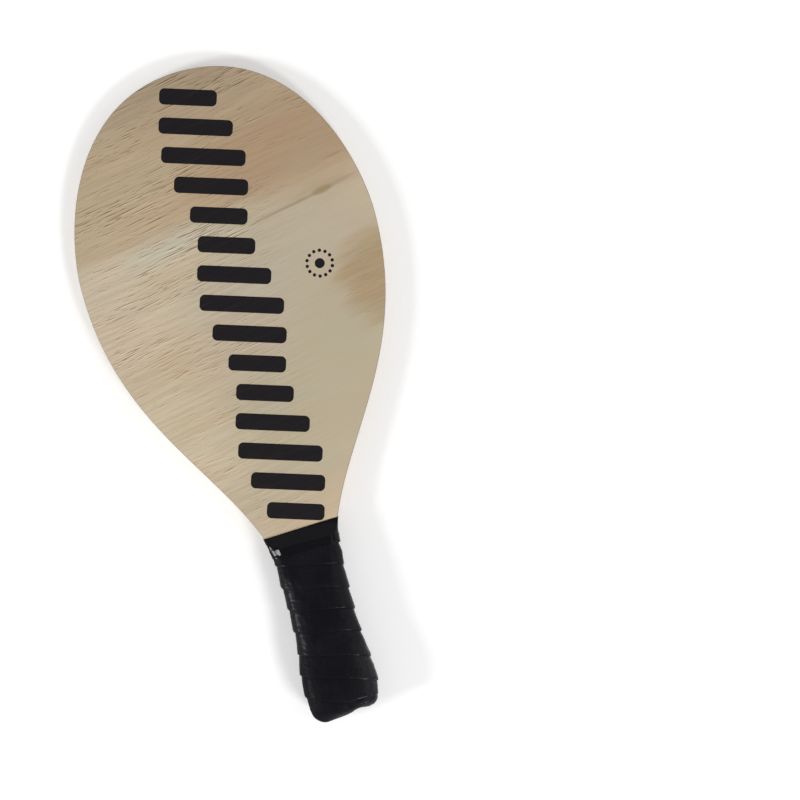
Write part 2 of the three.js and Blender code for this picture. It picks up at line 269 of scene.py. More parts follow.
class Effects:
    """Shader groups that several finishes share. Each is made once."""

    @staticmethod
    def group(
        name: str, inputs: dict[str, float | None], *outputs: str
    ) -> tuple[Graph, list[bpy.types.NodeSocket], bpy.types.Node]:
        """Makes an empty group.

        Args:
            name: The group's name.
            inputs: Its inputs with their usual values, or None for a vector.
            *outputs: Its outputs, all of them plain numbers.

        Returns:
            Its graph, the sockets of its inputs, and its output node.
        """
        tree = bpy.data.node_groups.new(name, "ShaderNodeTree")
        for label, value in inputs.items():
            kind = "NodeSocketVector" if value is None else "NodeSocketFloat"
            socket = tree.interface.new_socket(label, in_out="INPUT", socket_type=kind)
            if value is not None:
                socket.default_value = value
        for label in outputs:
            tree.interface.new_socket(label, in_out="OUTPUT", socket_type="NodeSocketFloat")
        graph = Graph(tree)
        return graph, graph.add("NodeGroupInput").outputs[: len(inputs)], graph.add("NodeGroupOutput")

    @staticmethod
    def finish(graph: Graph, result: bpy.types.Node, *sockets: bpy.types.NodeSocket) -> bpy.types.NodeTree:
        """Links a group's outputs to what they give.

        Args:
            graph: The group's graph.
            result: Its output node.
            *sockets: What goes to its outputs, in order.

        Returns:
            The group.
        """
        for index, socket in enumerate(sockets):
            graph.tree.links.new(socket, result.inputs[index])
        return graph.tree

    @staticmethod
    @cache
    def wood_grain() -> bpy.types.NodeTree:
        """Makes the grain of peeled veneer, which runs along the vector's first axis.

        Returns:
            A group that gives broad figure, fine streaks, dark pores, a painted highlight on their lips and
            the grain's height.
        """
        inputs = {"Vector": None, "Pores": 0.5, "Long Pores": 1.0}
        outputs = ("Figure", "Streaks", "Pores", "Lip Highlights", "Height")
        g, (vector, reach, longer), result = Effects.group("wood_grain", inputs, *outputs)
        drift = g.times(g.math("SUBTRACT", g.noise(vector, (9.0, 14.0, 14.0)), 0.5), 8 * MM)
        led = g.vectors("ADD", vector, g.add("ShaderNodeCombineXYZ", {1: drift}).outputs[0])
        # painted highlight: the pore dashes moved 0.6 mm across the grain mark the lit side of each pore's
        # lip
        beside = g.vectors("ADD", led, (0.0, 0.6 * MM, 0.0))
        figure = g.noise(led, (6.0, 38.0, 38.0), 3.0, 0.55)
        streaks = g.noise(led, (32.0, 860.0, 860.0), 2.0, 0.6)
        fibre = g.noise(led, (60.0, 2600.0, 2600.0), 2.0, 0.6)
        reaches = (g.times(reach, longer), reach, reach)
        pores, lip_highlights = 0.0, 0.0
        for scale, far in zip(((19.0, 600.0), (42.0, 900.0), (88.0, 1100.0)), reaches):
            pores = g.math("MAXIMUM", pores, Effects.dashes(g, led, scale, far))
            lip_highlights = g.math("MAXIMUM", lip_highlights, Effects.dashes(g, beside, scale, far))
        lip_highlights = g.times(lip_highlights, g.rest(pores))
        raised = g.math("MULTIPLY_ADD", streaks, 0.4, fibre)
        height = g.math("SUBTRACT", raised, g.times(pores, 0.8))
        return Effects.finish(g, result, figure, streaks, pores, lip_highlights, height)

    @staticmethod
    def dashes(g: Graph, vector: object, scale: tuple[float, float], reach: object) -> bpy.types.NodeSocket:
        """Lays one slim tapered dash in each cell of a stretched grid.

        Args:
            g: The graph.
            vector: Where it is read.
            scale: The cells to a metre along and across.
            reach: How far the dashes grow, 0 to 1.

        Returns:
            The dashes' socket, 1 in the middle of a dash.
        """
        cells = g.add("ShaderNodeTexVoronoi", {"Vector": g.stretch(vector, (*scale, scale[1])), "Scale": 1.0})
        size = g.math("MULTIPLY_ADD", reach, 0.36, 0.001)
        return g.rest(g.rise(cells.outputs["Distance"], g.times(size, 0.3), size))

    @staticmethod
    @cache
    def soft_patch() -> bpy.types.NodeTree:
        """Makes a mask for a streaky patch on the blade.

        Returns:
            A group that gives 1 inside the patch and 0 well outside it.
        """
        inputs = {"Vector": None, "Centre": None, "Radii": None, "Softness": 0.5, "Streaks": 0.5}
        g, (place, centre, radii, softness, streaks), result = Effects.group("soft_patch", inputs, "Mask")
        length = g.vectors("LENGTH", g.vectors("DIVIDE", g.vectors("SUBTRACT", place, centre), radii))
        feather = g.math("SUBTRACT", g.noise(place, (18.0, 120.0, 120.0), 3.0, 0.6), 0.5)
        reach = g.math("ADD", length, g.times(feather, streaks))
        outside = g.rise(reach, g.rest(softness), g.math("ADD", 1.0, softness))
        return Effects.finish(g, result, g.rest(outside))

    @staticmethod
    @cache
    def handled_film() -> bpy.types.NodeTree:
        """Makes the surface of a thin plastic film: its fine grain, its dull handled patches and its dust.

        Returns:
            A group that gives the grain's height, a dullness mask and a dust mask.
        """
        inputs = {"Vector": None, "Grain Size": 0.5, "Dust": 0.4}
        g, (place, size, dustiness), result = Effects.group("handled_film", inputs, "Height", "Dull", "Dust")
        grains = {"Vector": place, "Scale": g.math("DIVIDE", 1000.0, size)}
        cells = g.add("ShaderNodeTexVoronoi", grains, feature="SMOOTH_F1").outputs[0]
        dents = g.noise(place, (270.0, 110.0, 270.0), 1.0, 0.4)
        soft = g.math("MULTIPLY_ADD", g.noise(place, 420.0, 3.0, 0.6), 1.4, cells)
        dull = g.rise(g.noise(place, 55.0, 4.0, 0.65), 0.36, 0.66)
        specks = g.rise(g.noise(place, 2300.0, 2.0, 0.7), 0.66, 0.74)
        settled = g.rise(g.noise(place, 85.0, 3.0, 0.6), 0.42, 0.7)
        dust = g.times(g.times(specks, settled), dustiness)
        return Effects.finish(g, result, g.math("MULTIPLY_ADD", dents, 20.0, soft), dull, dust)


@dataclass(frozen=True)
class Patch:
    """One streaky patch of another tone on a face veneer, in millimetres from the racket's middle."""

    x: float
    y: float
    wide: float
    tall: float
    tone: tuple[int, int, int]
    strength: float
    softness: float
    streaks: float


@dataclass(frozen=True)
class WoodFinish:
    """Varnished or bare wood, with its grain along one heading."""

    name: str
    heading: float
    pale: tuple[int, int, int]
    dark: tuple[int, int, int]
    end_grain: tuple[int, int, int]
    pore: tuple[int, int, int] = (98, 70, 47)
    pores: float = 0.5
    figure: float = 0.6
    roughness: float = 0.58
    coat: float = 0.0
    patches: tuple[Patch, ...] = ()
    calm: float = 0.0
    streak: float = 0.31
    glue_level: float = 0.0
    ply: float = 0.0
    # share of pale grey painted on the eased rim as a highlight
    painted_rim_highlight: float = 0.0
    blush: float = 0.4
    clumped: float = 0.6496
    spread: float = 0.4872
    rim: tuple[int, int, int] = (152, 148, 140)
    glue: tuple[int, int, int] = (92, 66, 42)

    def material(self) -> bpy.types.Material:
        """Makes the wood's material.

        Returns:
            The material.
        """
        material, g, place = Graph.material(self.name)
        led = g.stretch(place, (1.0, 1.0, 1.0), self.heading)
        x, y, z = g.add("ShaderNodeSeparateXYZ", {0: place}).outputs
        open_grain = g.rest(self.calm_share(g, x, y))
        far_up = g.rise(y, -20 * MM, 150 * MM, 0.75)
        clumps = g.rise(g.noise(led, (14.0, 42.0, 42.0)), 0.4, 0.64)
        often = g.math("MULTIPLY_ADD", clumps, self.clumped * self.pores, self.spread * self.pores)
        inputs = {"Vector": led, "Pores": g.times(often, open_grain)}
        inputs["Long Pores"] = g.math("ADD", far_up, 0.35)
        grain = g.add("ShaderNodeGroup", inputs, node_tree=Effects.wood_grain()).outputs
        tone = g.mix(g.rise(grain["Figure"], 0.32, 0.68, self.figure), linear(*self.pale), linear(*self.dark))
        for patch in self.patches:
            tone = self.with_patch(g, led, tone, patch)
        blush = g.rise(g.noise(led, (11.0, 34.0, 34.0)), 0.42, 0.62, self.blush)
        tone = g.mix(blush, tone, g.tinted(tone, Tint.BLUSHED))
        lined = g.times(g.rise(grain["Streaks"], 0.34, 0.68), open_grain)
        ridges = g.mix(lined, g.tinted(tone, Tint.RAISED), g.tinted(tone, Tint.PRESSED))
        tone = g.mix(self.streak, tone, ridges)
        # painted highlight: the wood is lightened on the pores' lips
        tone = g.mix(grain["Lip Highlights"], tone, g.tinted(tone, Tint.LIT))
        deep = g.times(grain["Pores"], g.math("MULTIPLY_ADD", far_up, 0.36, 0.5))
        tone = self.with_edges(g, z, g.mix(deep, tone, linear(*self.pore)))
        rough = g.math("MULTIPLY_ADD", grain["Pores"], 0.2, self.roughness)
        inputs = {"Base Color": tone, "Roughness": rough, "Specular IOR Level": 0.28}
        inputs.update({"Coat Weight": self.coat, "Coat Roughness": 0.38})
        g.close(inputs, grain["Height"], 0.35, GRAIN_DEPTH)
        return material

    def calm_share(self, g: Graph, x: object, y: object) -> bpy.types.NodeSocket:
        """Finds how closed the grain is: most on the right, but less by the tip and on the stain.

        Args:
            g: The material's graph.
            x: The place across the racket.
            y: The place along it.

        Returns:
            How closed the grain is, 0 to 1.
        """
        right = g.rise(g.math("MULTIPLY_ADD", y, -0.12, x), -15 * MM, 50 * MM, self.calm)
        calm = g.times(right, g.rest(g.rise(y, 120 * MM, 170 * MM, 0.4)))
        from_stain = g.math("ABSOLUTE", g.math("SUBTRACT", y, 56 * MM))
        stain = g.times(g.rise(from_stain, 30 * MM, 16 * MM, 0.9), g.rise(x, 62 * MM, 80 * MM))
        return g.times(calm, g.rest(stain))

    def with_edges(self, g: Graph, z: object, tone: object) -> bpy.types.NodeSocket:
        """Shows end grain, a painted highlight on the eased rim and the glue lines where the surface turns
        away from the face.

        Args:
            g: The material's graph.
            z: The height.
            tone: The tone so far.

        Returns:
            The new tone's socket.
        """
        angle = math.radians(self.heading)
        normal = g.add("ShaderNodeNewGeometry").outputs["Normal"]
        facing = g.vectors("DOT_PRODUCT", normal, (math.cos(angle), math.sin(angle), 0.0))
        tone = g.mix(g.rise(g.math("ABSOLUTE", facing), 0.35, 0.9, 0.8), tone, linear(*self.end_grain))
        level = g.math("ABSOLUTE", g.add("ShaderNodeSeparateXYZ", {0: normal}).outputs[2])
        eased = g.times(g.rise(level, 0.05, 0.3), g.rest(g.rise(level, 0.93, 0.995)))
        # painted highlight: the eased rim's rounding is mixed towards pale grey, as if it caught the light
        tone = g.mix(g.times(eased, self.painted_rim_highlight), tone, linear(*self.rim))
        if not self.ply:
            return tone
        above = g.math("PINGPONG", g.math("SUBTRACT", z, self.glue_level), self.ply / 2)
        return g.mix(g.rise(above, 0.14 * MM, 0.03 * MM, 0.6), tone, linear(*self.glue))

    def with_patch(self, g: Graph, led: object, tone: object, patch: Patch) -> bpy.types.NodeSocket:
        """Lays one patch over the wood's tone.

        Args:
            g: The material's graph.
            led: The coordinates turned along the grain.
            tone: The tone so far.
            patch: The patch.

        Returns:
            The new tone's socket.
        """
        angle = math.radians(self.heading)
        x, y = patch.x * MM, patch.y * MM
        along = x * math.cos(angle) + y * math.sin(angle)
        across = y * math.cos(angle) - x * math.sin(angle)
        radii = (patch.wide * MM, patch.tall * MM, 1.0)
        inputs = {"Vector": led, "Centre": (along, across, 0.0), "Radii": radii}
        inputs.update({"Softness": patch.softness, "Streaks": patch.streaks})
        mask = g.add("ShaderNodeGroup", inputs, node_tree=Effects.soft_patch()).outputs[0]
        return g.mix(g.times(mask, patch.strength), tone, linear(*patch.tone))


@dataclass(frozen=True)
class FilmFinish:
    """Black plastic film or foam: the grip tape, the finishing tape, the folded butt and the sleeve.

    By the butt it is crinkled and shines on the right, and is rubbed dull on the left.
    """

    name: str
    tone: tuple[int, int, int]
    worn: tuple[int, int, int]
    roughness: float
    dullness: float
    grain: float
    relief: float
    specular: float
    coat: float = 0.0
    dust: float = 0.4
    crinkle: float = 55.0
    dust_tone: tuple[int, int, int] = (150, 145, 138)

    def material(self) -> bpy.types.Material:
        """Makes the film's material.

        Returns:
            The material.
        """
        material, g, place = Graph.material(self.name)
        inputs = {"Vector": place, "Grain Size": self.grain, "Dust": self.dust}
        film = g.add("ShaderNodeGroup", inputs, node_tree=Effects.handled_film()).outputs
        tone = g.mix(g.times(film["Dull"], 0.6), linear(*self.tone), linear(*self.worn))
        tone = g.mix(film["Dust"], tone, linear(*self.dust_tone))
        x, y = g.add("ShaderNodeSeparateXYZ", {0: place}).outputs[:2]
        low = g.rest(g.rise(y, -195 * MM, -172 * MM))
        right = g.times(low, g.rise(x, 0.0, 14 * MM))
        left = g.times(low, g.rise(x, -6 * MM, -16 * MM))
        rough = g.math("MULTIPLY_ADD", film["Dull"], self.dullness, self.roughness)
        shine = g.math("SUBTRACT", g.math("MULTIPLY_ADD", right, 2.0, 1.0), g.times(left, 0.8))
        folds = g.noise(g.stretch(place, (420.0, 170.0, 420.0), -35.0), 1.0, 2.0, 0.6)
        folds = g.times(folds, g.times(right, self.crinkle))
        inputs = {"Base Color": tone, "Roughness": g.math("MULTIPLY_ADD", left, 0.2, rough)}
        inputs.update({"Specular IOR Level": self.specular, "Coat Roughness": 0.2})
        inputs["Coat Weight"] = g.times(shine, self.coat)
        g.close(inputs, g.math("ADD", film["Height"], folds), self.relief, 0.1 * MM)
        return material


@dataclass(frozen=True)
class InkFinish:
    """Screen-printed ink, through which the wood's raised grain and open pores show."""

    name: str
    heading: float
    tone: tuple[int, int, int] = (30, 27, 30)
    thin: tuple[int, int, int] = (42, 37, 37)
    pore: tuple[int, int, int] = (20, 18, 20)
    roughness: float = 0.6

    def material(self) -> bpy.types.Material:
        """Makes the ink's material.

        Returns:
            The material.
        """
        material, g, place = Graph.material(self.name)
        inputs = {"Vector": g.stretch(place, (1.0, 1.0, 1.0), self.heading)}
        grain = g.add("ShaderNodeGroup", inputs, node_tree=Effects.wood_grain()).outputs
        tone = g.mix(g.rise(grain["Streaks"], 0.48, 0.78, 0.75), linear(*self.tone), linear(*self.thin))
        tone = g.mix(grain["Pores"], tone, linear(*self.pore))
        rough = g.math("MULTIPLY_ADD", grain["Streaks"], 0.2, self.roughness - 0.1)
        inputs = {"Base Color": tone, "Roughness": rough, "Specular IOR Level": 0.12}
        g.close(inputs, grain["Height"], 0.45, GRAIN_DEPTH)
        return material


class Bench:
    """Operator work that the pieces have in common."""

    @staticmethod
    def clear() -> None:
        """Deselects everything."""
        for other in bpy.context.view_layer.objects:
            other.select_set(False)

    @staticmethod
    def pick(*pieces: bpy.types.Object) -> None:
        """Selects some pieces alone, with the first of them active.

        Args:
            *pieces: The pieces.
        """
        Bench.clear()
        for piece in pieces:
            piece.select_set(True)
        bpy.context.view_layer.objects.active = pieces[0]

    @staticmethod
    def edit(piece: bpy.types.Object, chosen: Callable[[list[Vector]], bool] | None = None) -> None:
        """Enters edit mode on one piece, with all of it or only its chosen edges selected.

        Args:
            piece: The piece.
            chosen: Tells from an edge's two ends whether it is selected.
        """
        Bench.pick(piece)
        bpy.ops.object.mode_set(mode="EDIT")
        bpy.ops.mesh.select_mode(type="FACE" if chosen is None else "EDGE")
        bpy.ops.mesh.select_all(action="SELECT" if chosen is None else "DESELECT")
        if chosen is None:
            return
        Bench.leave()
        for edge in piece.data.edges:
            edge.select = chosen([piece.data.vertices[index].co for index in edge.vertices])
        bpy.ops.object.mode_set(mode="EDIT")

    @staticmethod
    def leave() -> None:
        """Goes back to object mode."""
        bpy.ops.object.mode_set(mode="OBJECT")

    @staticmethod
    def thicken(piece: bpy.types.Object, height: float) -> None:
        """Extrudes a flat piece straight up and turns its faces out.

        Args:
            piece: The piece.
            height: How thick it becomes.
        """
        Bench.edit(piece)
        bpy.ops.mesh.extrude_region_move(TRANSFORM_OT_translate={"value": (0, 0, height)})
        bpy.ops.mesh.select_all(action="SELECT")
        bpy.ops.mesh.normals_make_consistent(inside=False)
        Bench.leave()

    @staticmethod
    def smooth(piece: bpy.types.Object, degrees: float, weighted: bool = False) -> None:
        """Shades a piece smooth up to an angle.

        Args:
            piece: The piece.
            degrees: The sharpest angle that stays smooth.
            weighted: Whether wide flat faces keep their own shade up to a rounded edge.
        """
        Bench.pick(piece)
        bpy.ops.object.shade_smooth_by_angle(angle=math.radians(degrees))
        if weighted:
            held = piece.modifiers.new("even", "WEIGHTED_NORMAL")
            held.keep_sharp = True
            bpy.ops.object.modifier_apply(modifier=held.name)

    @staticmethod
    def wrap(
        name: str, columns: int, rows: int, degrees: float, place: Callable[[float, float], Vector]
    ) -> bpy.types.Object:
        """Wraps a flat grid into a closed piece: its meeting seams are merged and its open ends filled.

        Args:
            name: The piece's name.
            columns: Faces along the grid.
            rows: Faces across it.
            degrees: The sharpest angle that is shaded smooth.
            place: Where a point of the grid goes, from its shares along and across.

        Returns:
            The piece.
        """
        Bench.clear()
        bpy.ops.mesh.primitive_grid_add(x_subdivisions=columns, y_subdivisions=rows, size=1.0)
        piece = bpy.context.object
        piece.name = piece.data.name = name
        for vertex in piece.data.vertices:
            along = round((vertex.co.x + 0.5) * columns)
            across = round((vertex.co.y + 0.5) * rows)
            vertex.co = place(along / columns, across / rows)
        Bench.edit(piece)
        bpy.ops.mesh.remove_doubles(threshold=SEAM)
        bpy.ops.mesh.select_all(action="DESELECT")
        bpy.ops.mesh.select_mode(type="EDGE")
        bpy.ops.mesh.select_non_manifold()
        bpy.ops.mesh.fill_holes(sides=0)
        bpy.ops.mesh.select_all(action="SELECT")
        bpy.ops.mesh.normals_make_consistent(inside=False)
        Bench.leave()
        Bench.smooth(piece, degrees)
        return piece

    @staticmethod
    def dress(piece: bpy.types.Object, finish: bpy.types.Material, slot: str, *nodes: str) -> None:
        """Gives a piece its finish and its place in the frame, and reports it.

        Args:
            piece: The piece.
            finish: Its material.
            slot: Not used.
            *nodes: The CAD nodes that it stands for.
        """
        piece.data.materials.clear()
        piece.data.materials.append(finish)
        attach(piece, ROOT)
        if nodes:
            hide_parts(*nodes)
        kept = ", ".join(nodes) or "nothing"
        LOG.info("%s: %d faces, stands for %s", piece.name, len(piece.data.polygons), kept)


@dataclass(frozen=True)
class HandleShape:
    """Cross-sections of the handle, from the wood out to the winding."""

    middle: float
    length: float = 450 * MM
    tang_half: float = 16.5 * MM
    plywood_half: float = 4.55 * MM
    scale_thickness: float = 4.5 * MM
    flare_station: float = 27 * MM
    flare_length: float = 35 * MM
    flare_width_rise: float = 3.7 * MM
    flare_thickness_rise: float = 1.5 * MM
    butt_narrowing: float = 0.4 * MM
    neck_station: float = 83 * MM
    shoulder_station: float = 145 * MM
    neck_spread: float = 15.45 * MM
    sleeve_thickness: float = 3 * MM
    skive_length: float = 30 * MM
    winding_end: float = 121 * MM
    clearance: float = 0.3 * MM
    dome_exponent: float = 2.4
    dome_steps: int = 11
    turn_steps: int = 24
    heel_press: float = 1.1 * MM
    heel_end: tuple[float, float] = (10 * MM, 18 * MM)
    palm_press: float = 0.9 * MM
    palm_end: tuple[float, float] = (40 * MM, 50 * MM)
    bulge: float = 1.1 * MM
    bulge_station: float = 111 * MM
    bulge_reach: float = 6 * MM
    thinning: float = 0.42
    thinning_start: float = 106 * MM
    thinning_end: float = 119 * MM

    def flare(self, station: float) -> float:
        """Swelling of the handle: 1 at the flare, 0 from the waist on."""
        return fall(station, self.flare_station, self.flare_station + self.flare_length)

    def inset(self, station: float) -> float:
        """Narrowing of the handle's end, from the flare back to the butt."""
        return self.butt_narrowing * fall(station, 0, self.flare_station)

    def half_width(self, station: float) -> float:
        """Half the width of the plywood up to the shoulder.

        Args:
            station: Where along the racket.

        Returns:
            The half-width.
        """
        along = max(station - self.neck_station, 0) / (self.shoulder_station - self.neck_station)
        straight = self.tang_half + self.flare_width_rise * self.flare(station) - self.inset(station)
        return straight + self.neck_spread * along * along

    def crown(self, station: float) -> float:
        """Height of the scales' crown above the plywood."""
        return self.scale_thickness + self.flare_thickness_rise * self.flare(station) - self.inset(station)

    def sleeve(self, station: float) -> float:
        """Thickness of the foam sleeve, skived to nothing at the neck."""
        return self.sleeve_thickness * fall(station, self.winding_end - self.skive_length, self.winding_end)

    def winding(self, station: float) -> float:
        """Distance from the wood to the inside of the winding."""
        return 2 * self.clearance + self.sleeve(station)

    def shares(self, step: float) -> tuple[float, float, float]:
        """Where a step of the section lies.

        Args:
            step: The place round the handle, 24 to a turn.

        Returns:
            Shares of the half-width and of the crown, -1 to 1, and of the plywood's half-thickness.
        """
        half = self.turn_steps / 2
        around = step % self.turn_steps
        side = 1 if around < half else -1
        local = around % half
        on_dome = min(local, self.dome_steps)
        angle = math.pi * on_dome / self.dome_steps
        across, up = math.cos(angle), math.sin(angle)
        wall = 1 - 2 * (local - on_dome)
        power = 2 / self.dome_exponent
        bowed = math.copysign(abs(across) ** power, across) * side
        return bowed, side * max(up, 0.0) ** power, side * wall

    def point(self, step: float, station: float, half_width: float, rise: float) -> Vector:
        """One point of a section.

        Args:
            step: The place round the handle.
            station: The place along it.
            half_width: Half the section's width.
            rise: The crown's height above the plywood.

        Returns:
            The point in the racket's frame.
        """
        across, up, wall = self.shares(step)
        height = self.middle + wall * self.plywood_half + rise * up
        return Vector((half_width * across, station - self.length / 2, height))

    def squeeze(self, step: float, station: float) -> float:
        """How much the wraps are drawn in on the right side, where a palm has pressed them.

        Args:
            step: The place round the handle.
            station: The place along it.

        Returns:
            The distance, below zero where the wraps stand out instead.
        """
        heel = self.heel_press * fall(station, *self.heel_end)
        palm = self.palm_press * fall(station, *self.palm_end)
        bulge = self.bulge * bump(station, self.bulge_station, self.bulge_reach)
        return (heel + palm - bulge) * max(self.shares(step)[0], 0.0)

    def taut(self, station: float) -> float:
        """How thin the winding is pulled towards the neck, as a share of its thickness."""
        return 1 - self.thinning * smoothstep(station, self.thinning_start, self.thinning_end)

    def offset_point(self, step: float, station: float, out: float) -> Vector:
        """The point of a section at a distance out from the wood."""
        drawn = self.squeeze(step, station) * min(out / self.sleeve_thickness, 1.0)
        return self.point(step, station, self.half_width(station) + out - drawn, self.crown(station) + out)


@dataclass
class Blade:
    """The sheet of plywood: seven veneers with one outline, whose two outer rims are eased."""

    shape: HandleShape
    half_width: float = 102.5 * MM
    widest_station: float = 324 * MM
    shoulder_reach: float = 0.28
    flank_reach: float = 0.47
    crown_reach: float = 0.334
    tip_reach: float = 0.76
    tang_start: float = 10.05 * MM
    edge_ease: float = 0.5 * MM
    ease_segments: int = 4
    tang_points: int = 30
    curve_points: int = 72

    def curve(self, corners: list[Vector], points: int) -> list[Vector]:
        """Points along a curve with two handles.

        Args:
            corners: Its start, two handles and end.
            points: How many points, with the last one left out.

        Returns:
            The points.
        """
        found = []
        for index in range(points):
            t = index / points
            weights = ((1 - t) ** 3, 3 * t * (1 - t) ** 2, 3 * t * t * (1 - t), t**3)
            found.append(sum((c * w for c, w in zip(corners, weights)), Vector((0, 0))))
        return found

    def outline(self) -> list[Vector]:
        """The whole outline, up the right side to the tip and down the left.

        Returns:
            Points in the racket's frame, without their height.
        """
        s = self.shape
        flank = self.widest_station - s.shoulder_station
        crown = s.length - self.widest_station
        reach = self.shoulder_reach * flank
        lean = 2 * s.neck_spread / (s.shoulder_station - s.neck_station)
        shoulder = s.tang_half + s.neck_spread
        right = []
        for index in range(self.tang_points):
            station = lerp(self.tang_start, s.shoulder_station, index / self.tang_points)
            right.append(Vector((s.half_width(station), station)))
        first, last = Vector((shoulder, s.shoulder_station)), Vector((self.half_width, self.widest_station))
        led = first + Vector((lean * reach, reach))
        under = last - Vector((0, self.flank_reach * flank))
        right += self.curve([first, led, under, last], self.curve_points)
        tip = Vector((0, s.length))
        over = last + Vector((0, self.crown_reach * crown))
        beside = tip + Vector((self.tip_reach * self.half_width, 0))
        right += self.curve([last, over, beside, tip], self.curve_points)
        left = [Vector((-p.x, p.y)) for p in reversed(right)]
        return [p - Vector((0, s.length / 2)) for p in [*right, tip, *left]]

    def veneer(self, node: str, rim: int) -> bpy.types.Object:
        """Cuts one veneer where the frame has it.

        Args:
            node: The veneer's CAD node.
            rim: 1 if its upper rim is eased, -1 if its lower one is, 0 for neither.

        Returns:
            The veneer.
        """
        low, high = (corner.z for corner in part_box(node))
        ring = self.outline()
        Bench.clear()
        bpy.ops.mesh.primitive_circle_add(vertices=len(ring), radius=self.half_width, fill_type="NGON")
        piece = bpy.context.object
        piece.name = piece.data.name = node + "_sheet"
        for vertex, corner in zip(piece.data.vertices, ring):
            vertex.co = (corner.x, corner.y, low)
        Bench.thicken(piece, high - low)
        if rim:
            level = high if rim > 0 else low
            Bench.edit(piece, lambda ends: all(abs(end.z - level) < 0.01 * MM for end in ends))
            bpy.ops.mesh.bevel(offset=self.edge_ease, segments=self.ease_segments, affect="EDGES")
            Bench.leave()
        Bench.smooth(piece, 30, weighted=True)
        return piece

    def build(self) -> None:
        """Cuts and dresses the seven veneers."""
        face = WoodFinish(
            name="face_veneer_wood",
            heading=Layer.FACE.value,
            pale=(209, 195, 168),
            dark=(201, 182, 152),
            end_grain=(160, 136, 104),
            pores=0.9,
            figure=0.75,
            coat=0.06,
            patches=FRONT_PATCHES,
            calm=0.85,
            painted_rim_highlight=0.85,
        ).material()
        back = WoodFinish(
            name="back_veneer_wood",
            heading=Layer.FACE.value,
            pale=(201, 185, 157),
            dark=(178, 155, 124),
            end_grain=(150, 124, 92),
            pores=0.7,
            figure=0.85,
            coat=0.06,
            patches=BACK_PATCHES,
            painted_rim_highlight=0.85,
        ).material()
        glue, above = (corner.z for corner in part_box("core_veneer"))
        ply = above - glue
        inner = {
            layer: WoodFinish(
                name=f"{layer.name.lower()}_veneer_wood",
                heading=layer.value,
                pale=(196, 176, 142),
                dark=(176, 152, 116),
                end_grain=(139, 110, 78),
                roughness=0.62,
                glue_level=glue,
                ply=ply,
            ).material()
            for layer in (Layer.LONG, Layer.CROSS)
        }
        order = ("back_face_veneer", "back_veneer_2", "back_veneer_3", "core_veneer")
        order += ("front_veneer_3", "front_veneer_2", "front_face_veneer")
        for index, node in enumerate(order):
            rim = {0: -1, len(order) - 1: 1}.get(index, 0)
            piece = self.veneer(node, rim)
            wood = {-1: back, 1: face}.get(rim) or inner[Layer.LONG if index % 2 else Layer.CROSS]
            Bench.dress(piece, wood, "face_veneer" if rim else "inner_veneer", node)


FRONT_PATCHES = (
    Patch(-60, 110, 66, 11, (205, 199, 179), 0.8, 0.6, 0.6),
    Patch(-90, 74, 32, 46, (207, 193, 171), 0.75, 0.6, 0.8),
    Patch(-4, -66, 56, 24, (192, 178, 154), 0.6, 0.6, 0.5),
    Patch(48, 80, 72, 48, (191, 180, 159), 0.85, 0.45, 0.3),
    Patch(40, 6, 64, 64, (185, 176, 151), 0.8, 0.5, 0.2),
    Patch(100, 61, 32, 31, (176, 153, 117), 0.8, 0.42, 1.3),
    Patch(-76, 520, 1200, 400, (193, 173, 144), 0.85, 0.022, 0.06),
    Patch(-20, 236, 130, 44, (166, 147, 122), 0.7, 0.5, 0.5),
    Patch(-72, 176, 46, 34, (190, 172, 143), 0.6, 0.6, 0.8),
    Patch(-4, 48, 40, 34, (198, 186, 167), 0.6, 0.6, 0.6),
    Patch(64, 164, 72, 38, (175, 148, 118), 0.75, 0.6, 0.9),
    Patch(44, 117.5, 32, 1.0, (150, 122, 92), 0.55, 0.7, 2.4),
    Patch(71.5, 123.3, 6.4, 2.2, (158, 136, 98), 0.7, 0.5, 0.9),
    Patch(84.5, 144.8, 6, 0.9, (158, 132, 98), 0.5, 0.6, 1.0),
    Patch(86, 127, 11, 1.0, (160, 134, 104), 0.4, 0.8, 1.0),
)

BACK_PATCHES = (
    Patch(30, 150, 90, 40, (172, 149, 119), 0.6, 0.5, 0.5),
    Patch(-50, 40, 70, 46, (190, 180, 154), 0.6, 0.5, 0.4),
    Patch(62, 12, 34, 22, (178, 151, 117), 0.6, 0.6, 0.6),
    Patch(-58, 118, 7, 2.2, (120, 90, 68), 0.8, 0.5, 0.7),
)


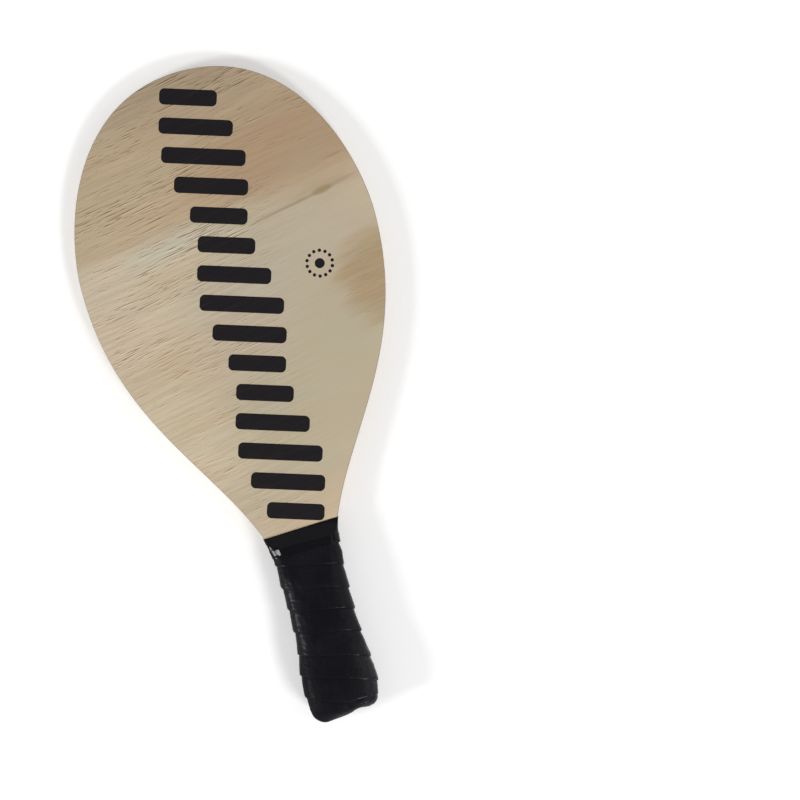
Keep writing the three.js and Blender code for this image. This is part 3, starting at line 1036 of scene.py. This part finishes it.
@dataclass
class BladePrint:
    """The ink on the front: a run of slanted rounded bars along the axis, and a ring of dots beside it."""

    top: float
    lift: float = 0.004 * MM
    film: float = 0.03 * MM
    bars: int = 15
    first_bar: float = -82 * MM
    pitch: float = 20.6 * MM
    bar_width: float = 11 * MM
    bar_length: float = 47 * MM
    length_swing: float = -10 * MM
    swing_bars: float = 5.0
    corner: float = 3.4 * MM
    corner_segments: int = 8
    slant: float = 17.0
    ring_centre: tuple[float, float] = (57.8 * MM, 75.8 * MM)
    ring_radius: float = 8.7 * MM
    ring_dots: int = 14
    dot_radius: float = 1.15 * MM
    core_radius: float = 3.4 * MM
    dot_sides: int = 32

    def bar(self, index: int) -> bpy.types.Object:
        """Cuts one bar at its place.

        Args:
            index: Its number from the handle up.

        Returns:
            The bar.
        """
        swing = math.cos(2 * math.pi * (index + 0.5) / self.swing_bars)
        half_length = (self.bar_length + self.length_swing * swing) / 2
        middle = Vector((0.0, self.first_bar + index * self.pitch, self.top + self.lift))
        Bench.clear()
        bpy.ops.mesh.primitive_plane_add(size=2.0, location=middle)
        piece = bpy.context.object
        bpy.ops.object.mode_set(mode="EDIT")
        bpy.ops.transform.resize(value=(half_length, self.bar_width / 2, 1.0), center_override=middle)
        bpy.ops.mesh.bevel(offset=self.corner, segments=self.corner_segments, affect="VERTICES")
        bpy.ops.transform.rotate(value=math.radians(self.slant), orient_axis="Z", center_override=middle)
        Bench.leave()
        return piece

    def disc(self, x: float, y: float, radius: float) -> bpy.types.Object:
        """Cuts one round dot.

        Args:
            x: Its middle across the blade.
            y: Its middle along the blade.
            radius: Its radius.

        Returns:
            The dot.
        """
        Bench.clear()
        place = (x, y, self.top + self.lift)
        bpy.ops.mesh.primitive_circle_add(
            vertices=self.dot_sides, radius=radius, fill_type="NGON", location=place
        )
        return bpy.context.object

    def joined(self, name: str, shapes: list[bpy.types.Object]) -> bpy.types.Object:
        """Joins flat shapes into one film of ink.

        Args:
            name: The film's name.
            shapes: The shapes.

        Returns:
            The film, with its place in its mesh.
        """
        Bench.pick(*shapes)
        bpy.ops.object.transform_apply(location=True, rotation=True, scale=True)
        bpy.ops.object.join()
        piece = bpy.context.object
        piece.name = piece.data.name = name
        Bench.thicken(piece, self.film)
        return piece

    def build(self) -> None:
        """Prints the bars and the ring of dots."""
        ink = InkFinish("printed_ink", Layer.FACE.value).material()
        bars = self.joined("blade_print", [self.bar(index) for index in range(self.bars)])
        Bench.dress(bars, ink, "face_veneer")
        x, y = self.ring_centre
        dots = [self.disc(x, y, self.core_radius)]
        for index in range(self.ring_dots):
            angle = 2 * math.pi * index / self.ring_dots
            across, along = self.ring_radius * math.cos(angle), self.ring_radius * math.sin(angle)
            dots.append(self.disc(x + across, y + along, self.dot_radius))
        Bench.dress(self.joined("dot_ring", dots), ink, "face_veneer")


@dataclass
class HandleCore:
    """What the winding hides: the two wooden scales and the foam sleeve over them."""

    shape: HandleShape
    start: float = 10.05 * MM
    sleeve_end: float = 112 * MM
    around: int = 96
    lines: int = 24

    def sleeve_point(self, along: float, across: float) -> Vector:
        """A point of the foam sleeve.

        Args:
            along: Share of the way round the handle.
            across: Share of the way out to the neck and back inside.

        Returns:
            The point.
        """
        s = self.shape
        share, outside = there_and_back(across, self.lines)
        station = lerp(self.start, self.sleeve_end, share)
        wall = s.sleeve(station) if outside else 0.0
        return s.offset_point(along * s.turn_steps, station, s.clearance + wall)

    def build(self) -> None:
        """Makes the sleeve and dresses the scales."""
        foam = FilmFinish("black_foam", (43, 43, 46), (58, 58, 60), 0.85, 0.1, 0.9, 0.8, 0.2).material()
        sleeve = Bench.wrap("foam_wrap", self.around, 2 * (self.lines + 1), 40, self.sleeve_point)
        Bench.dress(sleeve, foam, "foam", "foam_sleeve")
        wood = WoodFinish("scale_wood", 90.0, (190, 163, 122), (168, 138, 98), (128, 98, 66), roughness=0.6)
        made = wood.material()
        for node in ("front_handle_scale", "back_handle_scale"):
            scale = frame["nodes"][node]
            scale.data.materials.clear()
            scale.data.materials.append(made)
            LOG.info("%s keeps its shape and takes %s", node, wood.name)


@dataclass
class ButtPad:
    """The padded butt under its folded tape: slanted, rounder on its left, with pleats to its middle."""

    shape: HandleShape
    seat: float = 10.3 * MM
    half_width: float = 24.15 * MM
    rise: float = 9.95 * MM
    radius: float = 6.5 * MM
    radius_skew: float = 2.0 * MM
    slant: float = 5.8
    pleats: int = 9
    pleat_depth: float = 0.45 * MM
    dent: float = 1.6 * MM
    dent_x: float = 8.0 * MM
    dent_width: float = 5.5 * MM
    draw_in: float = 1.7 * MM
    fold_station: float = 12.4 * MM
    fold_fall: float = 0.41
    fold_height: float = 0.6 * MM
    fold_front: float = 0.6 * MM
    fold_back: float = 3.0 * MM
    fold_end: float = 9.3 * MM
    crease: float = 0.28 * MM
    seat_share: float = 0.1
    wall_share: float = 0.26
    round_share: float = 0.62
    around: int = 192
    rows: int = 60

    def place(self, along: float, across: float) -> Vector:
        """A point of the pad, from the middle of its seat out and over to the middle of its end.

        Args:
            along: Share of the way round.
            across: Share of the way from the seat's middle to the end's middle.

        Returns:
            The point.
        """
        s = self.shape
        step = along * s.turn_steps
        bowed = s.shares(step)[0]
        slope = math.tan(math.radians(self.slant))
        middle = slope * (self.half_width - self.radius - self.radius_skew)
        radius = self.radius - self.radius_skew * bowed
        if across <= self.seat_share:
            share = across / self.seat_share
            edge = self.at(step, self.seat, 0.0)
            return Vector((edge.x * share, edge.y, lerp(s.middle, edge.z, share)))
        wrinkle = self.wrinkle(step, across)
        if across <= self.wall_share:
            share = (across - self.seat_share) / (self.wall_share - self.seat_share)
            x = self.half_width * bowed
            station = lerp(self.seat, middle + slope * x + radius, share)
            return self.at(step, station, wrinkle + self.fold(step, x, station))
        if across <= self.round_share:
            angle = math.pi / 2 * (across - self.wall_share) / (self.round_share - self.wall_share)
            inset = radius * (1 - math.cos(angle)) - wrinkle
            x = (self.half_width - inset) * bowed
            station = middle + slope * x + radius * (1 - math.sin(angle))
            point = self.at(step, station, self.fold(step, x, station) * math.cos(angle) - inset)
            point.y = station + self.dent_at(point.x) * math.sin(angle) ** 3 - s.length / 2
            return point
        share = 1 - (across - self.round_share) / (1 - self.round_share)
        point = self.at(step, 0.0, -radius)
        x, z = point.x * share, lerp(s.middle, point.z, share)
        angle = math.atan2(z - s.middle, x) if share > 0 else 0.0
        fold = math.sin(self.pleats * angle + 1.7 * share) * share * (1 - share) * 4
        station = middle + slope * x + self.dent_at(x) + self.pleat_depth * (fold + 1.2 * (1 - share) ** 2)
        return Vector((x, station - s.length / 2, z))

    def at(self, step: float, station: float, out: float) -> Vector:
        """A point of the pad's section, which is drawn in towards the butt's end.

        Args:
            step: The place round the pad.
            station: The place along it.
            out: The distance out from its wall.

        Returns:
            The point.
        """
        s = self.shape
        out -= self.draw_in * fall(station, 0, self.seat)
        return s.point(step, station, self.half_width - s.squeeze(step, station) + out, self.rise + out)

    def dent_at(self, x: float) -> float:
        """Depth of the hollow that the folded tape leaves across the end."""
        return self.dent * bump(x, self.dent_x, self.dent_width)

    def wrinkle(self, step: float, across: float) -> float:
        """How far a crease of the folded tape stands out.

        Args:
            step: The place round the pad.
            across: The place from its seat to its end.

        Returns:
            The distance, within 0.3 mm.
        """
        angle = 2 * math.pi * step / self.shape.turn_steps
        height = uneven(3.2 * math.cos(angle), 3.2 * math.sin(angle), 5.0 * across + 0.3 * step)
        return self.crease * height * smoothstep(across, self.seat_share, 2 * self.seat_share)

    def fold(self, step: float, x: float, station: float) -> float:
        """How far the last fold of the tape stands out, along a line that falls to the right of the front.

        Args:
            step: The place round the pad.
            x: The place across it.
            station: The place along it.

        Returns:
            The distance.
        """
        above = station - (self.fold_station - self.fold_fall * x)
        front = smoothstep(self.shape.shares(step)[1], 0.0, 0.5)
        ridge = smoothstep(above, 0.0, self.fold_front) * math.exp(-max(above, 0.0) / self.fold_back)
        return self.fold_height * front * ridge * fall(station, self.fold_end, self.seat)

    def build(self) -> None:
        """Makes and dresses the pad."""
        pad = Bench.wrap("butt_fold", self.around, self.rows, 50, self.place)
        Bench.dress(pad, GRIP.material(), "pad", "butt_pad")


@dataclass
class GripTape:
    """The grip tape, wound from the butt with each turn's lower edge rolled down over the turn below."""

    shape: HandleShape
    pitch: float = 15.5 * MM
    overlap: float = 2.5 * MM
    thickness: float = 0.75 * MM
    turn_gap: float = 0.6 * MM
    tip: float = 3.0 * MM
    lean: float = 1.75 * MM
    edge_station: float = 27.9 * MM
    start: float = 10.34 * MM
    foot_roll: float = 0.15 * MM
    foot_share: float = 0.15
    edge_roll: float = 1.5 * MM
    wobble: float = 0.45 * MM
    pucker: float = 0.2 * MM
    tension: float = 0.13 * MM
    slack: float = 0.42 * MM
    press: float = 0.93
    least_lift: float = 0.2 * MM
    parts_per_step: int = 6
    edge_rows: int = 8
    outer_rows: int = 22
    inner_rows: int = 8
    turn_shifts: tuple[float, ...] = (0.0, -0.4, 0.4, 0.0, 0.3, 0.3, -0.2, 0.0, 0.0, 0.0)
    steeper: float = 3.3 * MM
    steeper_drop: float = 1.1 * MM
    wider: float = 1.5 * MM
    first_turn: tuple[float, float] = (24 * MM, 56 * MM)
    pucker_reach: float = 3.2 * MM
    slack_reach: float = 4 * MM
    crease: float = 0.16 * MM

    @property
    def width(self) -> float:
        """Width of the tape."""
        return self.pitch + self.overlap

    @property
    def rows(self) -> int:
        """Faces round the tape's section."""
        return self.edge_rows + self.outer_rows + 1 + self.inner_rows

    def edge(self, step: float) -> float:
        """Station of the tape's lower edge.

        Args:
            step: The place round the handle, over all the turns.

        Returns:
            The station.
        """
        s = self.shape
        front = s.dome_steps / 2
        even = self.edge_station + self.pitch * (step - front) / s.turn_steps
        return even - self.lean * s.shares(step)[0]

    def on_first(self, step: float) -> float:
        """How far a place belongs to the first turn, 0 to 1."""
        return fall(self.edge(step), *self.first_turn)

    def on_lower(self, step: float) -> float:
        """How far the tape lies on a turn below it, 0 to 1."""
        return smoothstep(step - self.first, self.shape.turn_steps / 2, self.shape.turn_steps - 2)

    def unevenness(self, step: float) -> float:
        """How far the hand-wound edge strays from its even line.

        Args:
            step: The place along the tape.

        Returns:
            The distance along the racket.
        """
        turns = step / self.shape.turn_steps + 2
        index = int(turns)
        shifts = [self.turn_shifts[turn % len(self.turn_shifts)] for turn in (index, index + 1)]
        shift = lerp(*shifts, smoothstep(turns - index, 0, 1)) * MM
        shift -= self.on_first(step) * (self.steeper_drop + self.steeper * self.shape.shares(step)[0])
        return shift + self.wobble * uneven(step * 0.55, 7.3, 2.1)

    def first_step(self) -> int:
        """Finds where the tape starts at the butt.

        Returns:
            The step.
        """
        step = -4 * self.shape.turn_steps
        while self.edge(step) + self.width < self.start + self.tip:
            step += 1
        return step

    def last_step(self) -> int:
        """Finds where the tape ends under the finishing tape.

        Returns:
            The step.
        """
        step = self.first_step()
        while self.edge(step + 1) <= self.shape.winding_end - self.tip:
            step += 1
        return step

    def relief(self, step: float, distance: float) -> float:
        """Creases of the stretched tape.

        Args:
            step: The place along the tape.
            distance: The place across it from its lower edge.

        Returns:
            How far the surface stands out or in.
        """
        along = step * 5.2
        share = distance / self.width
        puckers = uneven(along * 0.42, share * 2.2 + along * 0.03, 9.0)
        pucker = self.pucker * puckers * math.exp(-distance / self.pucker_reach)
        diagonal = Vector((along * 0.16 + share * 1.2, share * 7.0 - along * 0.05, 3.0))
        pulled = self.tension * (noise.noise(diagonal) + 0.6 * noise.noise(diagonal * 2.7))
        side = self.shape.shares(step)[0]
        low = fall(self.edge(step), 20 * MM, 90 * MM)
        pressed = smoothstep(side, 0.05, 0.6) * (0.35 + low) + 0.8 * smoothstep(-side, 0.45, 0.85)
        ridge = 1 - abs(uneven(along * 0.09, share * 13.0 - along * 0.12, 6.0)) * 4.5
        folds = self.crease * pressed * ridge * max(ridge, 0.0)
        return (pucker + pulled + folds) * fall(share, 0.76, 0.84)

    def raised(self, step: float, station: float) -> float:
        """How far a turn's inside is lifted from its bed by the turn below it."""
        lift = (self.thickness + self.turn_gap) * self.width / self.pitch
        return lift * self.on_lower(step) * (1 - (station - self.edge(step)) / self.width)

    def outside(self, step: float, station: float) -> float:
        """How far the outermost turn at a place stands from the wood.

        Args:
            step: The place round the handle.
            station: The place along the racket.

        Returns:
            The distance.
        """
        s = self.shape
        turn = step % s.turn_steps
        while turn + s.turn_steps <= self.last and self.edge(turn + s.turn_steps) <= station:
            turn += s.turn_steps
        raised = max(self.raised(turn, min(station, s.winding_end)), self.least_lift)
        return s.winding(min(station, s.winding_end)) + (raised + self.thickness) * s.taut(station)

    def profile(self, row: float) -> tuple[float, float, float]:
        """A place round the tape's own section.

        Args:
            row: The place, counted from the foot of the lower edge over the outside and back.

        Returns:
            The share across the tape, the distance in from the lower edge, and the share of the thickness.
        """
        if row <= self.edge_rows:
            angle = math.pi * (row / self.edge_rows - 0.5)
            roll = self.foot_roll if angle < 0 else self.edge_roll
            rest = self.foot_share if angle < 0 else 1 - self.foot_share
            return 0.0, roll * (1 - math.cos(angle)), self.foot_share + rest * math.sin(angle)
        row -= self.edge_rows
        if row <= self.outer_rows:
            return row / self.outer_rows, self.edge_roll * (1 - row / self.outer_rows), 1.0
        row -= self.outer_rows
        if row <= 1:
            return 1.0, 0.0, 1 - row
        share = 1 - (row - 1) / self.inner_rows
        return share, self.foot_roll * (1 - share), 0.0

    def place(self, along: float, across: float) -> Vector:
        """A point of the wound tape.

        Args:
            along: Share of the way from the butt to the neck.
            across: Share of the way round the tape's section.

        Returns:
            The point, pressed flat where the racket rests on it.
        """
        s = self.shape
        step = lerp(self.first, self.last, along)
        share, tuck, out = self.profile(across * self.rows)
        edge, on_lower = self.edge(step), self.on_lower(step)
        lower = max(edge + self.unevenness(step), self.start)
        upper = min(edge + self.width + self.wider * self.on_first(step), s.winding_end)
        upper = max(upper, lower + 1.2 * self.edge_roll)
        station = lerp(lower, upper, share) + tuck * smoothstep(edge, self.start - self.tip, self.start)
        distance = station - lower
        raised = self.raised(step, station)
        press = self.press * self.turn_gap * on_lower * fall(distance, self.overlap, 2 * self.overlap)
        slack = self.slack * max(0.55 + 1.1 * uneven(step * 0.31, 4.7, 1.9), 0.0)
        outer = raised + self.thickness - slack * on_lower * math.exp(-distance / self.slack_reach)
        outer += self.relief(step, distance) if out else 0.0
        inner, outer = (s.winding(station) + wall * s.taut(station) for wall in (raised - press, outer))
        point = s.offset_point(step, station, lerp(inner, outer, out))
        point.z = max(point.z, 0.0)
        return point

    def __post_init__(self) -> None:
        """Finds where the tape starts and ends."""
        self.first = self.first_step()
        self.last = self.last_step()

    def build(self) -> None:
        """Winds and dresses the tape."""
        columns = (self.last - self.first) * self.parts_per_step
        tape = Bench.wrap("grip_winding", columns, self.rows, 50, self.place)
        Bench.dress(tape, GRIP.material(), "grip_tape", "grip_tape")


@dataclass
class FinishingTape:
    """The vinyl band over the top of the winding, pulled down onto the neck."""

    shape: HandleShape
    winding: GripTape
    top_station: float = 131.3 * MM
    top_lean: float = 1.2 * MM
    width: float = 15.9 * MM
    thickness: float = 0.22 * MM
    turns: float = 1.25
    gap: float = 0.12 * MM
    layer: float = 0.28 * MM
    low_wave: float = 0.35 * MM
    high_wave: float = 0.25 * MM
    thin_edge: float = 0.25 * MM
    crumple: float = 0.3 * MM
    crumple_step: float = 10.4
    fold_height: float = 0.4 * MM
    fold_step: float = 9.2
    fold_reach: float = 1.25
    parts_per_step: int = 7
    outer_rows: int = 22

    def rise_at(self, step: float, station: float) -> tuple[float, float]:
        """How far the band's inside stands from the wood.

        Args:
            step: The place round the handle.
            station: The place along the racket.

        Returns:
            The distance beyond the half-width, and the height above the plywood.
        """
        s = self.shape
        middle = s.winding_end + s.clearance
        over = self.gap + self.winding.outside(step % s.turn_steps, station)
        share = min(max((station - middle) / (self.top_station - middle), 0.0), 1.0)
        wide = lerp(over, self.gap, share**0.45) - s.squeeze(step, station)
        return wide, lerp(s.crown(station) + over, self.gap, smoothstep(share, -0.12, 1.0))

    def relief(self, step: float, share: float) -> float:
        """Creases of the vinyl, deepest where it was bunched on the left.

        Args:
            step: The place along the band.
            share: The place across it.

        Returns:
            How far the surface stands out.
        """
        around = step % self.shape.turn_steps
        low = fall(share, 0.45, 0.62)
        bunched = 0.2 + 1.3 * bump(around, self.crumple_step, 1.5) * smoothstep(share, 0.3, 0.6)
        bunched *= 1 - 0.85 * low * bump(around, self.fold_step - 0.5, self.fold_reach)
        place = Vector((step * 0.5, share * 2.6 + step * 0.16, 4.4))
        creases = noise.noise(place) + 0.45 * noise.noise(place * 2.9) + 0.35
        return self.crumple * bunched * creases + self.fold_height * low * self.fold(around)

    def fold(self, around: float) -> float:
        """Section of the flat fold on the vinyl's left, from its crest down into its hollow.

        Args:
            around: The place round the handle.

        Returns:
            Its height, from 1 at the crest to -1 in the hollow.
        """
        inward = (self.fold_step - around) / self.fold_reach
        if inward > 1:
            return fall(inward, 1.0, 1.9)
        return 2 * inward * inward - 1 if inward > 0 else min(inward * inward - 1, 0.0)

    def place(self, along: float, across: float) -> Vector:
        """A point of the band.

        Args:
            along: Share of the way along the band.
            across: Share of the way round its section.

        Returns:
            The point.
        """
        s = self.shape
        step = (0.5 + along * self.turns) * s.turn_steps
        share, outside = there_and_back(across, self.outer_rows)
        low = self.top_station - self.width + self.low_wave * uneven(step * 0.4, 1.5, 8.0)
        high = self.top_station + self.top_lean * s.shares(step)[0]
        high += self.high_wave * uneven(step * 0.3, 5.5, 3.0)
        station = lerp(low, high, share)
        wide, rise = self.rise_at(step, station)
        out = self.layer * along * self.turns + (self.thickness if outside else 0.0)
        out += self.relief(step, share) * smoothstep(share, 0.0, 0.12) * fall(share, 0.86, 1.0)
        out -= self.thin_edge * fall(share, 0.0, 0.07)
        return s.point(step, station, s.half_width(station) + wide + out, rise + out)

    def build(self) -> None:
        """Winds and dresses the band."""
        vinyl = FilmFinish("black_vinyl", (14, 13, 17), (16, 15, 19), 0.09, 0.12, 1.4, 0.08, 0.16, 0.0, 0.2)
        columns = round(self.turns * self.shape.turn_steps * self.parts_per_step)
        band = Bench.wrap("neck_band", columns, 2 * (self.outer_rows + 1), 55, self.place)
        Bench.dress(band, vinyl.material(), "finishing_tape", "finishing_tape")


GRIP = FilmFinish("black_grip_tape", (16, 15, 21), (21, 20, 26), 0.36, 0.16, 0.55, 0.3, 0.08, 0.08)


class Lamp(Enum):
    """The soft boxes, which all look at the middle: where each stands, its width and height, its power."""

    KEY = ((-1.4, -0.2, 0.85), (0.4, 0.36), 12.5)
    FILL = ((1.4, 0.0, 0.8), (1.4, 1.8), 7.0)
    TIP = ((0.0, 1.8, 1.6), (3.4, 2.4), 7.5)
    BUTT = ((0.6, -1.3, 1.05), (0.42, 0.3), 11.0)
    BELOW = ((0.0, 0.0, -1.9), (2.0, 2.0), 16.0)


@dataclass
class Studio:
    """The pale floor with its raised rim, the lamps and the camera straight above the front face."""

    picture_mm: float = 0.67438
    picture_pixels: int = 800
    view_x: float = 86.92 * MM
    view_y: float = -27.15 * MM
    roll: float = -14.601
    lens: float = 120.0
    sensor: float = 36.0
    face_level: float = 20.35 * MM
    world_light: float = 0.27
    floor_glow: float = 0.25
    floor_radius: float = 4.2
    floor_sides: int = 96
    rim_radius: float = 0.8
    rim_segments: int = 10
    rim_height: float = 1.0
    rest_y: float = -198 * MM
    tip_y: float = 225 * MM
    tip_level: float = 11.25 * MM

    def camera(self) -> None:
        """Stands the camera at the photograph's place."""
        data = bpy.data.cameras.new("camera")
        data.lens, data.sensor_width = self.lens, self.sensor
        reach = self.picture_mm * MM * self.picture_pixels * self.lens / self.sensor
        camera = bpy.data.objects.new("camera", data)
        camera.location = (self.view_x, self.view_y, self.face_level + reach)
        camera.rotation_euler = (0.0, 0.0, math.radians(self.roll))
        bpy.context.scene.collection.objects.link(camera)
        bpy.context.scene.camera = camera

    def lamps(self) -> None:
        """Hangs the soft boxes."""
        for lamp in Lamp:
            place, size, power = lamp.value
            data = bpy.data.lights.new(lamp.name.lower() + "_box", "AREA")
            data.shape, data.size, data.size_y, data.energy = "RECTANGLE", size[0], size[1], power
            box = bpy.data.objects.new(data.name, data)
            box.location = place
            box.rotation_mode = "QUATERNION"
            box.rotation_quaternion = (-Vector(place)).to_track_quat("-Z", "Y")
            bpy.context.scene.collection.objects.link(box)

    def world(self) -> None:
        """Lights the room evenly, and shows it white to the camera."""
        world = bpy.data.worlds.new("studio")
        world.use_nodes = True
        world.node_tree.nodes.clear()
        g = Graph(world.node_tree)
        seen = g.add("ShaderNodeLightPath").outputs["Is Camera Ray"]
        strength = g.math("MAXIMUM", seen, self.world_light)
        sky = g.add("ShaderNodeBackground", {"Color": (1.0, 1.0, 1.0, 1.0), "Strength": strength})
        g.add("ShaderNodeOutputWorld", {"Surface": sky.outputs[0]})
        bpy.context.scene.world = world

    def floor(self) -> None:
        """Lays the floor under the grip and the tip, with a rim that rises all round."""
        radius, level = self.floor_radius, 0.0
        Bench.clear()
        bpy.ops.mesh.primitive_circle_add(vertices=self.floor_sides, radius=radius, fill_type="NGON")
        floor = bpy.context.object
        floor.name = floor.data.name = "studio_floor"
        for index in range(1, self.rim_segments + 1):
            angle = math.pi / 2 * index / self.rim_segments
            wide = self.floor_radius + self.rim_radius * math.sin(angle)
            high = self.rim_radius * (1 - math.cos(angle))
            self.raise_rim(floor, radius, wide, high - level)
            radius, level = wide, high
        self.raise_rim(floor, radius, radius, self.rim_height - level)
        slope = math.atan2(self.tip_level, self.tip_y - self.rest_y)
        floor.rotation_euler = (slope, 0.0, 0.0)
        floor.location = (0.0, 0.0, -self.rest_y * math.tan(slope))
        bpy.context.view_layer.update()
        Bench.pick(floor)
        bpy.ops.object.transform_apply(location=True, rotation=True, scale=True)
        Bench.smooth(floor, 40)
        floor.data.materials.append(self.paper())

    def raise_rim(self, floor: bpy.types.Object, radius: float, wide: float, up: float) -> None:
        """Extrudes the floor's outer edge by one step.

        Args:
            floor: The floor.
            radius: Where its outer edge is.
            wide: How far out the new edge is.
            up: How much higher the new edge is.
        """
        top = max(vertex.co.z for vertex in floor.data.vertices)

        def outer(ends: list[Vector]) -> bool:
            """Tells an edge of the present rim."""
            return all(abs(end.xy.length - radius) < MM and abs(end.z - top) < MM for end in ends)

        Bench.edit(floor, outer)
        bpy.ops.mesh.extrude_edges_move(TRANSFORM_OT_translate={"value": (0, 0, up)})
        scale = wide / radius
        bpy.ops.transform.resize(value=(scale, scale, 1.0), center_override=(0, 0, 0))
        Bench.leave()

    def paper(self) -> bpy.types.Material:
        """Makes the floor's white paper, which doesn't hide the racket from below.

        Returns:
            The material.
        """
        material, g, place = Graph.material("studio_paper")
        white = (1.0, 1.0, 1.0, 1.0)
        tone = g.mix(g.noise(place, 900.0, 3.0, 0.6), (0.93, 0.93, 0.93, 1.0), (0.97, 0.97, 0.97, 1.0))
        diffuse = g.add("ShaderNodeBsdfDiffuse", {"Color": tone}).outputs[0]
        light = g.add("ShaderNodeLightPath").outputs
        seen = g.math("MAXIMUM", light["Is Camera Ray"], light["Is Glossy Ray"])
        glow = g.add("ShaderNodeEmission", {"Color": white, "Strength": self.floor_glow}).outputs[0]
        plain = g.add("ShaderNodeEmission", {"Color": white, "Strength": 1.0}).outputs[0]
        lit = g.add("ShaderNodeAddShader", {0: diffuse, 1: glow}).outputs[0]
        away = g.rise(g.vectors("LENGTH", place), 0.5, 1.3)
        backdrop = g.add("ShaderNodeMixShader", {0: away, 1: lit, 2: plain}).outputs[0]
        shown = g.add("ShaderNodeMixShader", {0: seen, 1: diffuse, 2: backdrop}).outputs[0]
        backfacing = g.add("ShaderNodeNewGeometry").outputs["Backfacing"]
        behind = g.times(backfacing, light["Is Camera Ray"])
        unseen = g.math("MAXIMUM", behind, light["Is Shadow Ray"])
        clear = g.add("ShaderNodeBsdfTransparent").outputs[0]
        whole = g.add("ShaderNodeMixShader", {0: unseen, 1: shown, 2: clear}).outputs[0]
        g.add("ShaderNodeOutputMaterial", {0: whole})
        return material

    def build(self) -> None:
        """Sets up the whole studio."""
        self.camera()
        self.lamps()
        self.world()
        self.floor()
        bpy.context.scene.view_settings.view_transform = "Standard"


def main() -> None:
    """Builds the racket and its studio."""
    logging.basicConfig(level=logging.INFO, format="%(message)s")
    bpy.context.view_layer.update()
    levels = [corner.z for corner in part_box("core_veneer")]
    shape = HandleShape(middle=sum(levels) / 2)
    Blade(shape).build()
    BladePrint(top=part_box("front_face_veneer")[1].z).build()
    HandleCore(shape).build()
    ButtPad(shape).build()
    winding = GripTape(shape)
    winding.build()
    FinishingTape(shape, winding).build()
    Studio().build()


if __name__ == "__main__":
    main()
